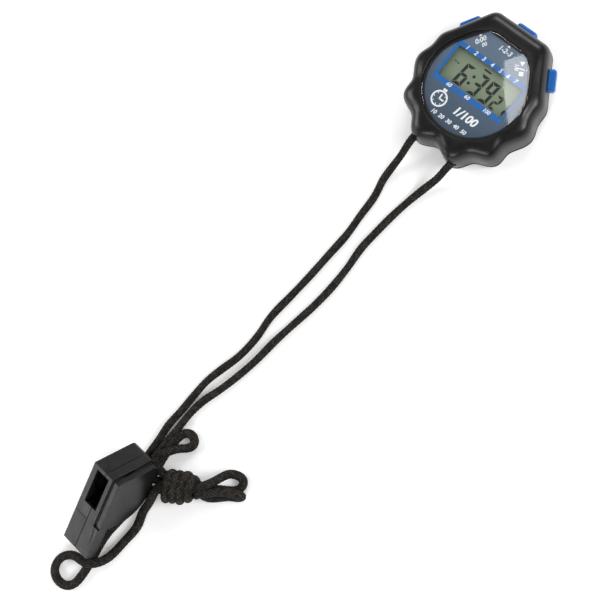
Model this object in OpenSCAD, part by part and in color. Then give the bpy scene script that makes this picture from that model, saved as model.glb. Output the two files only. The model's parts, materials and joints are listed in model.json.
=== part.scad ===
// Digital sports stopwatch with three push buttons, a braided lanyard and a whistle.
// Millimetres. The watch lies on its back, +Z out of the display, +Y towards the mode button.

/* [Case] */
// Lens centre to the flat behind the mode button
top_flat = 35.4; // [35:0.1:36]
// Lens centre to the two slanted flats
side_flat = 31.8; // [31.5:0.1:32]
// Height of the bezel above the table
case_h = 20.4; // [20.2:0.1:22]
// Height of the seam between the back and front shells
seam_z = 4.4; // [4:0.1:4.5]
// Wall thickness of both shells
wall = 2.2; // [1.8:0.1:2.4]

/* [Display] */
// Radius of the round part of the lens
lens_r = 24.5; // [24:0.1:24.6]
// Width of the window in the face plate
window_w = 37; // [34:0.5:37.5]
// Height of the window in the face plate
window_h = 16.2; // [14:0.2:16.4]

/* [Buttons] */
// Length of a button cap along the case wall
cap_l = 10.6; // [8:0.1:11]
// Height of a button cap
cap_h = 5.2; // [4.8:0.1:5.2]
// How far the top cap stands out of the wall
cap_proud = 2.2; // [1.6:0.1:2.6]
// How far the two side caps stand out of the wall
side_proud = 3; // [2:0.1:3.2]
// Travel of a button
travel = 1; // [0.5:0.1:1]

/* [Lanyard] */
// Diameter of the braided cord
cord_d = 3.8; // [3.4:0.1:3.9]

/* [Whistle] */
// Width across both halves
whistle_w = 17.6; // [16:0.2:18]
// Length of the top plate
whistle_l = 44; // [43:0.5:45]

/* [Hidden] */
$fn = 64;

// Grip outline: radius from the lens centre against the angle from -Y
lobe_angles = [0, 18, 34, 50, 65, 84, 99, 112, 122];
lobe_radii = [31, 35.8, 32.2, 34.4, 31, 33, 31.1, 32.3, side_flat];
flat_dir = lobe_angles[8];
outline_step = 3;

function ease(a, b, t) = a + (b - a) * (1 - cos(180 * t)) / 2;
function lobe_r(a, i = 0) =
    a > lobe_angles[i + 1] ? lobe_r(a, i + 1)
    : ease(lobe_radii[i], lobe_radii[i + 1],
           (a - lobe_angles[i]) / (lobe_angles[i + 1] - lobe_angles[i]));
function soft_min(a, b, k) = let (h = max(k - abs(a - b), 0) / k) min(a, b) - h * h * k / 4;
function flats_r(a) = soft_min(side_flat / cos(a - flat_dir), top_flat / cos(180 - a), 3);
function case_r(a) = a <= flat_dir ? lobe_r(a) : flats_r(a);
function outline(inset = 0) =
    [for (i = [0 : outline_step : 359])
        let (a = min(i, 360 - i), r = case_r(a) - inset)
        [r * sin(i), -r * cos(i)]];

// The watch is centred on Y between its lowest lobe and the mode button's face
low_edge = max([for (p = outline()) -p.y]);
lens_y = (low_edge - top_flat - cap_proud) / 2;

// Levels inside the watch
floor_z = 1.8;
gasket_t = 0.3;
front_z = seam_z + gasket_t;
ceiling_z = 16.4;
shelf_z = 18;
plate_t = 0.4;
board_z = 9.6;
board_t = 1.2;
lcd_z = 14.5;
button_z = 7.6;
port_z = 10.5;

// Stations of a button along its normal, counted from the flat
pocket_floor = -5;
gland_x = -6.5;
guide_end = -7.5;
stem_end = -8.9;
leaf_x = -10.2;
stem_r = 1.5;
side_offset = 7.9;

case_screw_spots = [[21.8, -18.3], [-21.8, -18.3], [13.3, 26], [-13.3, 26]];
board_screw_spots = [[15.5, -15], [-15.5, -15], [0, 21.5]];
port_x = 11;

module at_lens() translate([0, lens_y, 0]) children();

// Solid lofted through the grip outline: rings of [height, inset]
module loft(rings) {
    n = 360 / outline_step;
    points = [for (r = rings) for (p = outline(r[1])) [p.x, p.y, r[0]]];
    top = (len(rings) - 1) * n;
    sides = [for (k = [0 : len(rings) - 2]) for (j = [0 : n - 1])
             [k * n + j, (k + 1) * n + j, (k + 1) * n + (j + 1) % n, k * n + (j + 1) % n]];
    polyhedron(points, concat(sides, [[for (j = [0 : n - 1]) j]],
                              [[for (j = [n - 1 : -1 : 0]) top + j]]));
}

module lens_outline(grow = 0) {
    hull() {
        circle(r = lens_r + grow, $fn = 96);
        for (s = [-1, 1]) translate([s * 10.8, 24]) circle(r = 1.6 + grow, $fn = 24);
    }
}

module rounded_bar(l, h, r) {
    square([l - 2 * r, h], center = true);
    square([l, h - 2 * r], center = true);
    for (x = [-1, 1], y = [-1, 1])
        translate([x * (l / 2 - r), y * (h / 2 - r)]) circle(r = r, $fn = 32);
}

// Places a part with +X along a button's outward normal and X = 0 on the flat
module at_mode() at_lens() rotate([0, 0, 90]) translate([top_flat, 0, button_z]) children();
module at_start()
    at_lens() rotate([0, 0, flat_dir - 90]) translate([side_flat, side_offset, button_z]) children();
module at_reset() mirror([1, 0, 0]) at_start() children();

module along_x(x0, x1, r) translate([x0, 0, 0]) rotate([0, 90, 0]) cylinder(r = r, h = x1 - x0);

// ---- shells ----

module button_block() {
    translate([guide_end, -cap_l / 2 - 1.6, front_z - button_z])
        cube([-guide_end - 1, cap_l + 3.2, 11.6 - front_z]);
}

module button_pocket() {
    translate([pocket_floor, 0, 0]) rotate([90, 0, 90])
        linear_extrude(-pocket_floor + 3) rounded_bar(cap_l + 0.3, cap_h + 0.3, 1.5);
    along_x(gland_x - 0.1, pocket_floor + 0.1, stem_r + 0.05);
    along_x(guide_end - 0.1, gland_x, 2.45);
}

module front_case() {
    color("#2b2a2a") difference() {
        union() {
            difference() {
                at_lens() loft([[front_z, 0], [12, 0.2], [15, 0.6], [17, 1.3],
                                [18.6, 2.4], [19.7, 4], [case_h, 5.6]]);
                at_lens() translate([0, 0, front_z - 1])
                    linear_extrude(ceiling_z - front_z + 1) polygon(outline(wall));
            }
            at_lens() for (p = case_screw_spots)
                translate([p.x, p.y, front_z]) cylinder(r = 2.7, h = ceiling_z - front_z);
            at_lens() for (p = board_screw_spots)
                translate([p.x, p.y, board_z + board_t])
                    cylinder(r = 2, h = ceiling_z - board_z - board_t);
            at_mode() button_block();
            at_start() button_block();
            at_reset() button_block();
        }
        at_mode() button_pocket();
        at_start() button_pocket();
        at_reset() button_pocket();
        at_lens() translate([0, 0, shelf_z]) linear_extrude(4) lens_outline(0.1);
        at_lens() translate([-19, -6, ceiling_z - 1]) cube([38.4, 18.6, 4]);
        at_lens() for (p = case_screw_spots)
            translate([p.x, p.y, front_z - 1]) cylinder(r = 0.97, h = 10);
        at_lens() for (p = board_screw_spots)
            translate([p.x, p.y, board_z]) cylinder(r = 0.77, h = 5.5);
        for (s = [-1, 1]) translate([s * port_x, lens_y - 26, port_z])
            rotate([90, 0, 0]) cylinder(r = cord_d / 2 + 0.4, h = 14);
    }
}

module back_case() {
    color("#262525") difference() {
        union() {
            difference() {
                at_lens() loft([[0, 2.6], [0.7, 1.1], [1.8, 0.35], [seam_z, 0]]);
                at_lens() translate([0, 0, floor_z])
                    linear_extrude(seam_z) polygon(outline(wall));
            }
            at_lens() for (p = case_screw_spots)
                translate([p.x, p.y, 0.5]) cylinder(r = 2.7, h = seam_z - 0.5);
        }
        at_lens() for (p = case_screw_spots) {
            translate([p.x, p.y, -1]) cylinder(r = 2.1, h = 2.6);
            translate([p.x, p.y, -1]) cylinder(r = 1.15, h = 8);
        }
    }
}

module case_gasket() {
    color("#3a3a3a") at_lens() translate([0, 0, seam_z]) linear_extrude(gasket_t) difference() {
        polygon(outline(0.7));
        polygon(outline(wall));
    }
}

// ---- display ----

module lens() {
    color([0.85, 0.9, 0.95, 0.3]) at_lens() translate([0, 0, shelf_z + plate_t + 0.2])
        linear_extrude(case_h - shelf_z - plate_t) lens_outline();
}

module lens_gasket() {
    color("#202020") at_lens() translate([0, 0, shelf_z + plate_t]) linear_extrude(0.2) difference() {
        lens_outline(-0.1);
        lens_outline(-1.1);
    }
}

module face_plate() {
    color("#56667a") at_lens() translate([0, 0, shelf_z]) linear_extrude(plate_t) difference() {
        lens_outline(-0.1);
        translate([0.2 - window_w / 2, 3.5 - window_h / 2]) square([window_w, window_h]);
    }
}

module lcd_panel() {
    color("#7d8a72") at_lens() {
        translate([-20.8, -8.2, lcd_z + 0.9]) cube([42, 23.4, 0.9]);
        translate([-20.8, -5.8, lcd_z]) cube([42, 18.6, 0.9]);
    }
}

module lcd_reflector() {
    color("silver") at_lens() translate([-20.2, -5.4, lcd_z - 0.25]) cube([40.8, 17.8, 0.2]);
}

module module_frame() {
    color("#e8e6dc") at_lens() difference() {
        translate([-22.4, -9.8, board_z + board_t])
            cube([45.2, 26.6, ceiling_z - board_z - board_t - 0.05]);
        translate([-20.9, -8.3, board_z + board_t - 1]) cube([42.2, 23.6, 9]);
        for (m = [0, 1]) mirror([m, 0, 0]) rotate([0, 0, flat_dir - 90])
            translate([side_flat + guide_end - 0.4, -10, board_z]) cube([9, 30, 2.3]);
    }
}

module zebra_strips() {
    color("#d9a3ad") at_lens() for (y = [-8.1, 13])
        translate([-18, y, board_z + board_t]) cube([36.4, 2, lcd_z + 0.9 - board_z - board_t]);
}

// ---- electronics ----

module circuit_board() {
    color("#2f6b3c") at_lens() translate([0, 0, board_z]) difference() {
        linear_extrude(board_t) union() {
            circle(r = 23);
            translate([-9.5, 0]) square([19, top_flat + leaf_x - 0.2]);
        }
        for (s = [-1, 1]) rotate([0, 0, s * (flat_dir - 90) + (s < 0 ? 180 : 0)])
            translate([side_flat + leaf_x - 0.2, -15, -1]) cube([10, 30, 4]);
        for (p = board_screw_spots) translate([p.x, p.y, -1]) cylinder(r = 0.95, h = 4);
    }
}

module chip_blob() {
    color("#151515") at_lens() translate([8.5, 5, board_z - 1.1]) {
        cylinder(r = 4.2, h = 1.1);
        translate([0, 0, -0.5]) cylinder(r = 3, h = 0.5);
    }
}

module quartz_crystal() {
    color("#c9ccd0") at_lens() translate([12.5, -6, board_z - 1.15]) rotate([90, 0, 0])
        cylinder(r = 1, h = 6);
}

module chip_components() {
    color("#8c6a45") at_lens() for (p = [[3.5, 12], [6.5, 13.5], [9.5, 14.2], [15.5, 3], [15.5, 0]])
        translate([p.x, p.y, board_z - 0.8]) cube([1.6, 0.8, 0.8]);
}

module coin_cell() {
    color("#c4c6c9") at_lens() translate([-8.5, -5, 3.5]) {
        cylinder(r = 5.8, h = 4.9);
        translate([0, 0, 4.9]) cylinder(r = 4.9, h = 0.5);
    }
}

module battery_minus_spring() {
    color("#cdbf8a") at_lens() translate([-11.5, -5.9, 9.05]) cube([7, 1.8, 0.3]);
}

module battery_plus_clip() {
    color("#bfb48a") at_lens() {
        translate([-11.5, -13, 3.1]) cube([6, 11, 0.3]);
        translate([-11.5, -13.3, 3.1]) cube([6, 0.3, board_z - 3.1]);
    }
}

module insulator_sheet() {
    color("#d8d0a8") at_lens() translate([-17, -14.5, 2.75]) cube([18.6, 17, 0.15]);
}

module buzzer_disc() {
    color("#b99a4a") at_lens() translate([7, -8, floor_z]) {
        cylinder(r = 10, h = 0.3);
        translate([0, 0, 0.3]) cylinder(r = 6.8, h = 0.25);
    }
}

// ---- springs ----

function helix(r, x0, x1, turns, n = 10) =
    [for (i = [0 : turns * n]) let (a = 360 * i / n)
        [x0 + (x1 - x0) * i / (turns * n), r * cos(a), r * sin(a)]];
function unit(v) = v / norm(v);
function tangent(p, i) = unit(p[min(i + 1, len(p) - 1)] - p[max(i - 1, 0)]);
function ring(c, t, ref, r, n) =
    let (a = unit(cross(t, ref)), b = cross(a, t))
    [for (k = [0 : n - 1]) c + r * (cos(360 * k / n) * a + sin(360 * k / n) * b)];

// Tube of radius r swept through the points p; ref is a direction the tube never runs along
module tube(p, r, ref = [0, 0, 1], n = 8) {
    last = (len(p) - 1) * n;
    points = [for (i = [0 : len(p) - 1]) each ring(p[i], tangent(p, i), ref, r, n)];
    sides = [for (i = [0 : len(p) - 2]) for (k = [0 : n - 1])
             [i * n + k, i * n + (k + 1) % n, (i + 1) * n + (k + 1) % n, (i + 1) * n + k]];
    polyhedron(points, concat(sides, [[for (k = [n - 1 : -1 : 0]) k]],
                              [[for (k = [0 : n - 1]) last + k]]));
}

module buzzer_spring() {
    color("#cdbf8a") at_lens() translate([4, -8, 0]) rotate([0, -90, 0])
        tube(helix(1.8, 2.6, board_z - 0.25, 4, 12), 0.2, [1, 0, 0], 6);
}

module return_spring() {
    color("#b9bcc0") tube(helix(2, pocket_floor + 0.22, 0.35, 4, 12), 0.18, [1, 0, 0], 6);
}

module mode_spring() at_mode() return_spring();
module start_spring() at_start() return_spring();
module reset_spring() at_reset() return_spring();

// ---- buttons ----

module button(proud) {
    color("#0f5fb8") difference() {
        union() {
            translate([pocket_floor + travel + 0.1, 0, 0]) rotate([90, 0, 90])
                linear_extrude(proud - pocket_floor - travel - 0.7) rounded_bar(cap_l, cap_h, 1.4);
            translate([proud - 0.6, 0, 0]) rotate([90, 0, 90])
                linear_extrude(0.6) rounded_bar(cap_l - 0.8, cap_h - 0.8, 1.2);
        }
        along_x(pocket_floor, 0.6, 2.4);
    }
    color("#0f5fb8") difference() {
        along_x(stem_end, 0.7, stem_r);
        translate([-8.1, 0, 0]) rotate([0, 90, 0]) difference() {
            cylinder(r = 3, h = 0.5);
            cylinder(r = 1.2, h = 0.5);
        }
    }
}

module mode_button() at_mode() button(cap_proud);
module start_button() at_start() button(side_proud);
module reset_button() at_reset() button(side_proud);

module retaining_clip() {
    color("#9a9da1") difference() {
        along_x(-8.08, -7.63, 2.6);
        along_x(-9, -7, 1.25);
        translate([-9, -0.9, -4]) cube([2, 1.8, 4]);
    }
}

module mode_clip() at_mode() retaining_clip();
module start_clip() at_start() retaining_clip();
module reset_clip() at_reset() retaining_clip();

module stem_oring() {
    color("#1c1c1c") translate([(gland_x + guide_end) / 2, 0, 0]) rotate([0, 90, 0])
        rotate_extrude() translate([1.99, 0]) circle(r = 0.42, $fn = 24);
}

module mode_oring() at_mode() stem_oring();
module start_oring() at_start() stem_oring();
module reset_oring() at_reset() stem_oring();

module contact_leaf() {
    translate([leaf_x, -2.5, -2]) cube([0.2, 5, board_z - button_z + 2]);
}

module contact_leaves() {
    color("#cdbf8a") {
        at_mode() contact_leaf();
        at_start() contact_leaf();
        at_reset() contact_leaf();
    }
}

// ---- screws ----

module pan_screw(head_r, head_h, shank_r, length) {
    difference() {
        cylinder(r = head_r, h = head_h);
        for (a = [0, 90]) rotate([0, 0, a]) translate([-head_r * 0.6, -0.2, -0.1])
            cube([head_r * 1.2, 0.4, 0.6]);
    }
    translate([0, 0, head_h]) cylinder(r = shank_r, h = length);
}

module case_screws() {
    color("#8f9296") at_lens() for (p = case_screw_spots)
        translate([p.x, p.y, 0.4]) pan_screw(1.9, 1.2, 0.95, 10.5);
}

module board_screws() {
    color("#a8a9ab") at_lens() for (p = board_screw_spots)
        translate([p.x, p.y, board_z - 0.9]) pan_screw(1.5, 0.9, 0.75, 5.2);
}

// ---- whistle: +X from the mouthpiece to the rear, +Z out of the top plate ----

function arc(x, y, r, a0, a1, n) =
    [for (i = [0 : n]) let (a = a0 + (a1 - a0) * i / n) [x + r * cos(a), y + r * sin(a)]];

rear_lean = 20;
rear_l = 21;
plate_step = 17;
mouth_t = 5.8;
whistle_at = [-18.4, -283.1, 10.2];
whistle_turn = [-15, -26, 95];

// Side outline, shrunk by inset along the top and the rear
function whistle_profile(inset = 0) =
    concat([[0, 0], [plate_step, 0], [plate_step, -inset], [whistle_l - inset, -inset]],
           arc(whistle_l + rear_l * sin(rear_lean) - 2.6 - inset, -rear_l * cos(rear_lean) - 1,
               3 - inset / 2, rear_lean - 10, -90, 6),
           arc(35.5, -5.4, 19, -90, -178, 16),
           [[0, -mouth_t]]);

module whistle_slab(y0, y1, inset = 0) {
    translate([0, y1, 0]) rotate([90, 0, 0]) linear_extrude(y1 - y0) polygon(whistle_profile(inset));
}

module whistle_hollow() {
    translate([36.5, 6.8, -12.6]) rotate([90, 0, 0]) cylinder(r = 10.6, h = 12.4);
    translate([24, -2.6, -9]) cube([18, 8.2, 12]);
    translate([-1, -4.6, -3.9]) cube([28, 10, 2.2]);
}

module whistle() {
    difference() {
        union() {
            whistle_slab(-5, whistle_w / 2);
            whistle_slab(-whistle_w / 2, -6.2, 0.8);
            whistle_slab(-6.3, -4.9, 2.2);
        }
        whistle_hollow();
    }
}

module at_whistle() translate(whistle_at) rotate(whistle_turn) children();

module whistle_left_half() {
    color("#3b3c3e") at_whistle() intersection() {
        whistle();
        translate([-5, 0.03, -40]) cube([80, 20, 60]);
    }
}

module whistle_right_half() {
    color("#343537") at_whistle() intersection() {
        whistle();
        translate([-5, -20.03, -40]) cube([80, 20, 60]);
    }
}

// ---- lanyard ----

left_route = [[-11, -34, 10.5], [-11.3, -39, 10], [-11.5, -45.5, 7], [-12.5, -52, 3.4],
              [-12.7, -59, 1.9], [-10.9, -68, 1.9], [-10.6, -79, 1.9], [-10.1, -90, 1.9],
              [-11, -103, 1.9], [-11.9, -116, 1.9], [-13.2, -129, 1.9], [-14.6, -142, 1.9],
              [-13.9, -154, 1.9], [-14.9, -165.5, 1.9], [-17.7, -175.5, 1.9], [-20, -184.5, 1.9],
              [-20.6, -193.5, 1.9], [-20.9, -203, 1.9], [-21.6, -212, 1.9], [-21, -218.5, 1.9],
              [-20.8, -225, 1.9], [-20.4, -229.6, 2.4], [-18.8, -233, 4.2], [-15.4, -235.4, 5.3],
              [-11, -235.8, 5.8], [-5.4, -233.4, 7.2]];
right_route = [[11, -34, 10.5], [10.4, -38, 10.2], [9.3, -44, 7.6], [6.6, -50.5, 4],
               [4.6, -56, 2.1], [3.2, -62, 1.9], [1.6, -71, 1.9], [0.4, -81, 1.9],
               [-0.5, -91, 1.9], [0.1, -102, 1.9], [-0.1, -114, 1.9], [-1.4, -126, 1.9],
               [-3.6, -138, 1.9], [-5.8, -150.5, 1.9], [-7.3, -163, 1.9], [-9.7, -174.5, 1.9],
               [-12.5, -184.5, 1.9], [-15.4, -193, 1.9], [-16.7, -201.5, 1.9], [-16.8, -211, 1.9],
               [-17.2, -218, 1.9], [-17.3, -225, 1.9], [-17.4, -231, 1.9]];
case_turn_route = [[-11, -34, 10.5], [-9.8, -31, 10.5], [-6, -29, 10.5], [0, -28.4, 10.5],
                   [6, -29, 10.5], [9.8, -31, 10.5], [11, -34, 10.5]];
bight_route = [[-4.6, -231.4, 8], [-10.2, -229.8, 7.4], [-13.6, -229.8, 6.4], [-15.4, -227.4, 5.8],
               [-14.6, -224.6, 5.8], [-12.6, -221.6, 5.6], [-11, -218.8, 4.8], [-9, -216.3, 3],
               [-6.3, -213.8, 1.9], [-5.8, -210.8, 1.9], [-9, -208.4, 1.9], [-12.6, -209.8, 1.9],
               [-14, -214, 1.9], [-14, -220, 1.9], [-13.7, -226, 1.9], [-12.6, -231, 1.9],
               [-12.4, -235, 1.9], [-14.8, -237.4, 1.9], [-17.2, -235.6, 1.9], [-17.4, -231, 1.9]];
mouth_route = [[-5, -235, 11.4], [-4.8, -239.6, 8.4], [-4.9, -243.4, 5.2], [-5.2, -247, 2.8],
               [-5.4, -250.2, 1.9], [-4.6, -253.2, 1.9], [-3.2, -257, 1.9], [-2.9, -261, 1.9],
               [-3.3, -265.5, 1.9], [-4.2, -275.6, 1.9], [-5.4, -280.2, 3], [-7.2, -283.6, 5],
               [-9.8, -285.8, 6.2], [-13.1, -286.8, 5.4], [-17, -287.4, 3.2], [-20.6, -289.2, 1.9],
               [-23, -292.4, 1.9], [-23.2, -296.9, 1.9], [-21, -300.4, 1.9], [-16.8, -302, 1.9],
               [-12.4, -301.2, 1.9], [-10, -298, 1.9], [-9.6, -293.5, 1.9], [-9.9, -288.9, 1.9],
               [-10.6, -283.4, 1.9], [-11.8, -277, 1.9], [-12.6, -270, 1.9], [-12, -262, 1.9],
               [-11, -255, 1.9], [-10.4, -249, 1.9], [-10, -244.4, 1.9], [-8.4, -240.8, 2.4],
               [-6, -238.2, 4.2], [-2.6, -237, 5.6]];
upper_loop_route = [[11.2, -224.4, 6.4], [13.8, -222.5, 5.8], [16.8, -220.2, 4],
                    [20.9, -217.6, 2.6], [24.3, -214.7, 2], [25.3, -211.5, 2], [23.6, -208.9, 2],
                    [19.8, -209.2, 2.6], [16.9, -211, 4], [15.6, -214.4, 6.2], [14.4, -218.1, 8.2],
                    [12.8, -221.6, 9.6], [10.6, -223.6, 10.4]];
lower_loop_route = [[12.4, -228.2, 5.4], [16.1, -225.8, 4.1], [19.8, -222.5, 2.4],
                    [23.5, -218.9, 2], [27, -216.9, 2.2], [28.8, -214.8, 3.9], [27.2, -215.4, 5.8],
                    [23.6, -217.1, 6.4], [19.4, -219.7, 7.2], [15.6, -223.9, 8.8], [11.8, -226.4, 9.8]];
hank_at = [3.4, -229.9, 7.9];
hank_turn = 34;
hank_r = 7.8;
hank_half = 10.3;

module cord(route, ref = [0, 0, 1]) color("#2a2420") tube(route, cord_d / 2, ref);

module lanyard_left_run() cord(left_route);
module lanyard_right_run() cord(right_route);
module lanyard_case_turn() cord(case_turn_route);
module lanyard_rear_bight() cord(bight_route);
module lanyard_mouth_loop() cord(mouth_route);

module lanyard_end_loops() {
    cord(upper_loop_route);
    cord(lower_loop_route, [-sin(hank_turn), cos(hank_turn), 0]);
}

module lanyard_hank() {
    color("#241f1c") translate(hank_at) rotate([0, 90, hank_turn]) rotate_extrude()
        polygon([[0, -hank_half], [hank_r - 2, -hank_half], [hank_r, 2 - hank_half],
                 [hank_r, hank_half - 2], [hank_r - 2, hank_half], [0, hank_half]]);
}

front_case();
back_case();
case_gasket();
lens();
lens_gasket();
face_plate();
lcd_panel();
lcd_reflector();
module_frame();
zebra_strips();
circuit_board();
chip_blob();
quartz_crystal();
chip_components();
coin_cell();
battery_plus_clip();
battery_minus_spring();
insulator_sheet();
buzzer_disc();
buzzer_spring();
case_screws();
board_screws();
contact_leaves();
mode_button();
mode_clip();
mode_oring();
mode_spring();
start_button();
start_clip();
start_oring();
start_spring();
reset_button();
reset_clip();
reset_oring();
reset_spring();
whistle_left_half();
whistle_right_half();
lanyard_left_run();
lanyard_right_run();
lanyard_case_turn();
lanyard_rear_bight();
lanyard_mouth_loop();
lanyard_end_loops();
lanyard_hank();
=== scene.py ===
import json
import math

import bmesh
import bpy
import numpy as np
from mathutils import Euler, Matrix, Vector


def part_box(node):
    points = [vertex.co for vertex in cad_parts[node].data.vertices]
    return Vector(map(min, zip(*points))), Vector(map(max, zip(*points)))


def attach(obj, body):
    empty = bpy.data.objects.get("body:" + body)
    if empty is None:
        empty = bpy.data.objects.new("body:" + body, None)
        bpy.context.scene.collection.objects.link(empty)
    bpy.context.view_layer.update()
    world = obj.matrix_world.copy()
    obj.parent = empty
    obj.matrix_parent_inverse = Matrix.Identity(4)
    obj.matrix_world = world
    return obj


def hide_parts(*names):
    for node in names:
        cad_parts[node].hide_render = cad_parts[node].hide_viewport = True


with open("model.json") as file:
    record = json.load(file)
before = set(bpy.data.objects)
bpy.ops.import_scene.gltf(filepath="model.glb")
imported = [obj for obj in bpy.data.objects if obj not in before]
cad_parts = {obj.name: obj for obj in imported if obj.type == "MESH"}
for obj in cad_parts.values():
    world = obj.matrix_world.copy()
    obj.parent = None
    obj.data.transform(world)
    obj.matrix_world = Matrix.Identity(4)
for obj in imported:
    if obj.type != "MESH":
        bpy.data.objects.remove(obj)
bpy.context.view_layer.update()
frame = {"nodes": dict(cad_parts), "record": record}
MM = 0.001  # every size below is in millimetres
scene = bpy.context.scene

# ---------------------------------------------------------------- camera
CAMERA_AT = Vector((230.8, -104.1, 788.3)) * MM
CAMERA_TURN = Euler([math.radians(a) for a in (9.371, 14.248, 39.419)])
cam = bpy.data.cameras.new("camera")
cam.lens, cam.sensor_width = 105.6, 36
cam.clip_start, cam.clip_end = 0.01, 20
cam_ob = bpy.data.objects.new("camera", cam)
cam_ob.matrix_world = Matrix.Translation(CAMERA_AT) @ CAMERA_TURN.to_matrix().to_4x4()
scene.collection.objects.link(cam_ob)
scene.camera = cam_ob
scene.view_settings.view_transform = "Standard"


# ---------------------------------------------------------------- materials
def material(name):
    m = bpy.data.materials.new(name)
    m.use_nodes = True
    return m, m.node_tree, m.node_tree.nodes["Principled BSDF"]


def node(t, kind, **values):
    """A new node; i_ before a name sets an input, and the rest are properties."""
    n = t.nodes.new(kind)
    for k, v in values.items():
        if k.startswith("i_"):
            n.inputs[k[2:].replace("_", " ")].default_value = v
        else:
            setattr(n, k, v)
    return n


def noise(t, scale, detail=3.0, source="Object", stretch=None):
    """Noise on a texture coordinate; scale is bumps per unit of it."""
    n = node(t, "ShaderNodeTexNoise", i_Scale=scale, i_Detail=detail, i_Roughness=0.55)
    out = node(t, "ShaderNodeTexCoord").outputs[source]
    if stretch:
        m = node(t, "ShaderNodeMapping")
        m.inputs["Scale"].default_value = stretch
        t.links.new(out, m.inputs["Vector"])
        out = m.outputs["Vector"]
    t.links.new(out, n.inputs["Vector"])
    return n


def ramp(t, fac, stops):
    r = node(t, "ShaderNodeValToRGB")
    while len(r.color_ramp.elements) < len(stops):
        r.color_ramp.elements.new(0.5)
    for e, (p, c) in zip(r.color_ramp.elements, stops):
        e.position = p
        e.color = (*c, 1)
    t.links.new(fac, r.inputs["Fac"])
    return r.outputs["Color"]


def math_node(t, operation, first, *values):
    """A maths node: its first input is linked, the others are numbers or links."""
    n = node(t, "ShaderNodeMath", operation=operation)
    t.links.new(first, n.inputs[0])
    for k, v in enumerate(values, 1):
        if isinstance(v, (int, float)):
            n.inputs[k].default_value = v
        else:
            t.links.new(v, n.inputs[k])
    return n.outputs[0]


def bump(t, b, height, distance):
    n = node(t, "ShaderNodeBump", i_Distance=distance, i_Strength=1.0)
    t.links.new(height, n.inputs["Height"])
    t.links.new(n.outputs["Normal"], b.inputs["Normal"])


def plastic(name, low, high, rough, spread=0.08, grain=2500, depth=0.00001, shine=0.5):
    """Moulded plastic: faint colour drift, roughness drift, a fine mould grain."""
    cloud = 60
    m, t, b = material(name)
    drift = noise(t, cloud, 4)
    t.links.new(ramp(t, drift.outputs["Fac"], [(0.3, low), (0.7, high)]), b.inputs["Base Color"])
    patches = noise(t, cloud * 3, 5)
    stops = [(0.3, (rough - spread,) * 3), (0.7, (rough + spread,) * 3)]
    t.links.new(ramp(t, patches.outputs["Fac"], stops), b.inputs["Roughness"])
    bump(t, b, noise(t, grain, 2).outputs["Fac"], depth)
    b.inputs["Specular IOR Level"].default_value = shine
    return m


def metal(name, low, high, rough, grain=900, stretch=(1, 1, 1)):
    m, t, b = material(name)
    b.inputs["Metallic"].default_value = 1.0
    n = noise(t, grain, 4, stretch=stretch)
    t.links.new(ramp(t, n.outputs["Fac"], [(0.3, low), (0.7, high)]), b.inputs["Base Color"])
    stops = [(0.3, (rough - 0.08,) * 3), (0.7, (rough + 0.1,) * 3)]
    t.links.new(ramp(t, n.outputs["Fac"], stops), b.inputs["Roughness"])
    return m


def flat(name, low, high, rough, scale=400, bump_depth=0.0):
    m, t, b = material(name)
    n = noise(t, scale, 3)
    t.links.new(ramp(t, n.outputs["Fac"], [(0.3, low), (0.7, high)]), b.inputs["Base Color"])
    b.inputs["Roughness"].default_value = rough
    if bump_depth:
        bump(t, b, n.outputs["Fac"], bump_depth)
    return m


def gradient(name, low, high, y0, y1, rough, metallic):
    """Colour that runs from one colour to another along Y, with a fine metal fleck."""
    m, t, b = material(name)
    place = node(t, "ShaderNodeSeparateXYZ")
    t.links.new(node(t, "ShaderNodeTexCoord").outputs["Object"], place.inputs[0])
    span = node(t, "ShaderNodeMapRange")
    span.inputs["From Min"].default_value, span.inputs["From Max"].default_value = y0 * MM, y1 * MM
    t.links.new(place.outputs["Y"], span.inputs["Value"])
    fleck = noise(t, 9000, 2)
    fac = math_node(t, "MULTIPLY_ADD", fleck.outputs["Fac"], 0.25, span.outputs["Result"])
    t.links.new(ramp(t, fac, [(0.12, low), (1.1, high)]), b.inputs["Base Color"])
    b.inputs["Roughness"].default_value = rough
    b.inputs["Metallic"].default_value = metallic
    return m


def braid_material():
    """Dark cord: a painted highlight on its strands' crests and painted shade in the valleys between them,
    and no two have quite the same tone.
    """
    m, t, b = material("braid")
    at = node(t, "ShaderNodeAttribute", attribute_name="strand")
    sep = node(t, "ShaderNodeSeparateColor")
    t.links.new(at.outputs["Color"], sep.inputs["Color"])
    fibre = noise(t, 160, 4, source="UV", stretch=(1, 0.35, 1))
    fac = math_node(t, "MULTIPLY_ADD", sep.outputs["Green"], 0.28, fibre.outputs["Fac"])
    strand = ramp(t, fac, [(0.45, (0.005, 0.004, 0.0032)), (0.62, (0.019, 0.0155, 0.0124)),
                           (0.86, (0.075, 0.062, 0.05))])
    # painted shade: the colour goes to near black away from the strand crests, so the valleys are painted
    # dark and the crests light
    painted_valley_shade = node(t, "ShaderNodeMix", data_type="RGBA")
    painted_valley_shade.inputs["A"].default_value = (0.0008, 0.0007, 0.0006, 1)
    t.links.new(strand, painted_valley_shade.inputs["B"])
    t.links.new(math_node(t, "POWER", sep.outputs["Red"], 2.2), painted_valley_shade.inputs["Factor"])
    t.links.new(painted_valley_shade.outputs["Result"], b.inputs["Base Color"])
    b.inputs["Roughness"].default_value = 0.78
    b.inputs["Specular IOR Level"].default_value = 0.22
    bump(t, b, fibre.outputs["Fac"], 0.00012)
    return m


def clear_surface(name, tint):
    """A material that is clear all over, and the shader that makes it so."""
    m, t, b = material(name)
    t.nodes.remove(b)
    clear = node(t, "ShaderNodeBsdfTransparent", i_Color=(*tint, 1))
    t.links.new(clear.outputs[0], t.nodes["Material Output"].inputs["Surface"])
    return m, t, clear


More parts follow.
